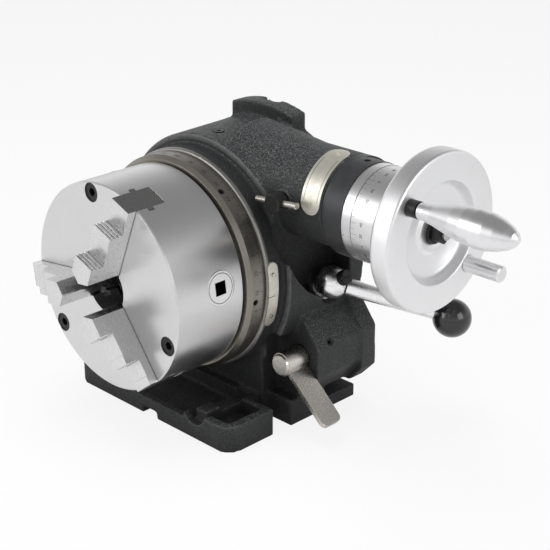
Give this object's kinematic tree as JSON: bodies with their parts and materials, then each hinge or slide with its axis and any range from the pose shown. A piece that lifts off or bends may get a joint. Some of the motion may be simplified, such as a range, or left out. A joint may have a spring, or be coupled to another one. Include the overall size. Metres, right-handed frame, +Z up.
{
  "type": "dividing head",
  "caption": "Dividing head with a self-centring scroll chuck, worm drive, graduated handwheel, spindle lock and a base that mounts flat or upright.",
  "frame": {"origin": "underside of the base, below the spindle axis, on the line of the two front bolt slots", "axes": "+Z up from the base; +Y along the spindle from the chuck to the rear; +X towards the handwheel"},
  "size_m": [0.4045, 0.244, 0.2415],
  "materials": {
    "cast_iron": "textured charcoal paint over cast iron",
    "chuck_steel": "ground steel",
    "jaw_steel": "ground hardened steel",
    "ring_steel": "warm satin steel",
    "shaft_steel": "turned steel",
    "black_oxide": "black oxide",
    "satin_chrome": "satin chrome",
    "wheel_alloy": "satin turned",
    "bronze": "turned bronze",
    "bright_chrome": "bright chrome",
    "black_ball": "glossy black",
    "nickel": "warm nickel plate",
    "label_metal": "bare plate"
  },
  "bodies": {
    "housing": {"body_casting": "cast_iron", "casting_foot": "cast_iron", "casting_rear": "cast_iron", "casting_sides": "cast_iron", "worm_boss": "cast_iron", "front_bush": "bronze", "rear_bush": "bronze", "rear_cover": "black_oxide", "rear_cover_screws": "black_oxide", "zero_plate": "satin_chrome", "zero_plate_screws": "black_oxide", "nameplate": "label_metal", "nameplate_rivets": "label_metal", "oil_cup": "black_oxide", "shaft_set_screw": "black_oxide", "lock_cotter": "shaft_steel", "brake_plunger": "bronze"},
    "spindle_group": {"spindle": "shaft_steel", "spindle_flange": "shaft_steel", "spindle_nut": "black_oxide", "wheel_key": "shaft_steel", "brake_ring": "shaft_steel", "worm_wheel": "bronze", "index_ring": "ring_steel", "index_ring_screws": "black_oxide", "chuck_body": "chuck_steel", "chuck_back": "shaft_steel", "chuck_screws": "black_oxide", "pinion_pins": "shaft_steel"},
    "scroll": {"scroll_plate": "shaft_steel"},
    "first_jaw": {"jaw_1": "jaw_steel"},
    "second_jaw": {"jaw_2": "jaw_steel"},
    "third_jaw": {"jaw_3": "jaw_steel"},
    "first_pinion": {"chuck_pinion_1": "jaw_steel"},
    "second_pinion": {"chuck_pinion_2": "jaw_steel"},
    "third_pinion": {"chuck_pinion_3": "jaw_steel"},
    "sleeve_group": {"eccentric_sleeve": "black_oxide", "sleeve_flange": "black_oxide", "worm_bushes": "bronze", "sleeve_collar": "black_oxide", "collar_screws": "black_oxide", "vernier_ring": "satin_chrome"},
    "worm_group": {"worm_shaft": "shaft_steel", "micrometer_dial": "satin_chrome", "handwheel": "wheel_alloy", "handwheel_key": "shaft_steel", "handwheel_washer": "black_oxide", "handwheel_nut": "black_oxide", "crank_stud": "black_oxide", "counter_pin": "nickel"},
    "grip": {"crank_grip": "wheel_alloy"},
    "spindle_lock": {"ball_lever_hub": "bright_chrome", "ball_lever_rod": "bright_chrome", "ball_lever_knob": "black_ball", "lock_screw": "black_oxide"},
    "brake_lever": {"clamp_lever": "nickel", "clamp_shaft": "nickel"},
    "sleeve_clamp": {"sleeve_clamp_screw": "nickel", "sleeve_clamp_bar": "nickel"}
  },
  "joints": [
    {"name": "spindle_turn", "type": "hinge", "parent": "housing", "child": "spindle_group", "pos_m": [0, 0, 0.121], "axis": [0, 1, 0], "continuous": true},
    {"name": "scroll_turn", "type": "hinge", "parent": "spindle_group", "child": "scroll", "pos_m": [0, -0.065, 0.121], "axis": [0, 1, 0], "range_deg": [-478, 558]},
    {"name": "first_jaw_slide", "type": "slide", "parent": "spindle_group", "child": "first_jaw", "axis": [0.3827, 0, 0.9239], "range_m": [-0.012, 0.014]},
    {"name": "second_jaw_slide", "type": "slide", "parent": "spindle_group", "child": "second_jaw", "axis": [-0.9914, 0, -0.1305], "range_m": [-0.012, 0.014]},
    {"name": "third_jaw_slide", "type": "slide", "parent": "spindle_group", "child": "third_jaw", "axis": [0.6088, 0, -0.7934], "range_m": [-0.012, 0.014]},
    {"name": "first_pinion_turn", "type": "hinge", "parent": "spindle_group", "child": "first_pinion", "pos_m": [0, -0.0516, 0.121], "axis": [0.9914, 0, 0.1305], "range_deg": [-3350, 3910]},
    {"name": "second_pinion_turn", "type": "hinge", "parent": "spindle_group", "child": "second_pinion", "pos_m": [0, -0.0516, 0.121], "axis": [-0.6088, 0, 0.7934], "range_deg": [-3350, 3910]},
    {"name": "third_pinion_turn", "type": "hinge", "parent": "spindle_group", "child": "third_pinion", "pos_m": [0, -0.0516, 0.121], "axis": [-0.3827, 0, -0.9239], "range_deg": [-3350, 3910]},
    {"name": "sleeve_swing", "type": "hinge", "parent": "housing", "child": "sleeve_group", "pos_m": [0.05, 0.0425, 0.1835], "axis": [1, 0, 0], "range_deg": [-75, 0]},
    {"name": "worm_turn", "type": "hinge", "parent": "sleeve_group", "child": "worm_group", "pos_m": [0, 0.0375, 0.1835], "axis": [1, 0, 0], "continuous": true},
    {"name": "grip_spin", "type": "hinge", "parent": "worm_group", "child": "grip", "pos_m": [0.25, 0.00152, 0.21151], "axis": [1, 0, 0], "continuous": true},
    {"name": "spindle_lock_turn", "type": "hinge", "parent": "housing", "child": "spindle_lock", "pos_m": [0.09246, 0.052, 0.10924], "axis": [0.8572, 0, 0.515], "range_deg": [-60, 20]},
    {"name": "brake_lever_turn", "type": "hinge", "parent": "housing", "child": "brake_lever", "pos_m": [0.0905, 0.01, 0.057], "axis": [0, 1, 0], "range_deg": [-85, 12]},
    {"name": "sleeve_clamp_turn", "type": "hinge", "parent": "housing", "child": "sleeve_clamp", "pos_m": [0.087, 0, 0.1864], "axis": [0, 1, 0], "range_deg": [-150, 30]}
  ],
  "couplings": [
    {"joint": "first_jaw_slide", "follows": "scroll_turn", "m_per_rad": 0.0014324},
    {"joint": "second_jaw_slide", "follows": "scroll_turn", "m_per_rad": 0.0014324},
    {"joint": "third_jaw_slide", "follows": "scroll_turn", "m_per_rad": 0.0014324},
    {"joint": "first_pinion_turn", "follows": "scroll_turn", "ratio": 7},
    {"joint": "second_pinion_turn", "follows": "scroll_turn", "ratio": 7},
    {"joint": "third_pinion_turn", "follows": "scroll_turn", "ratio": 7},
    {"joint": "worm_turn", "follows": "spindle_turn", "ratio": -40}
  ]
}
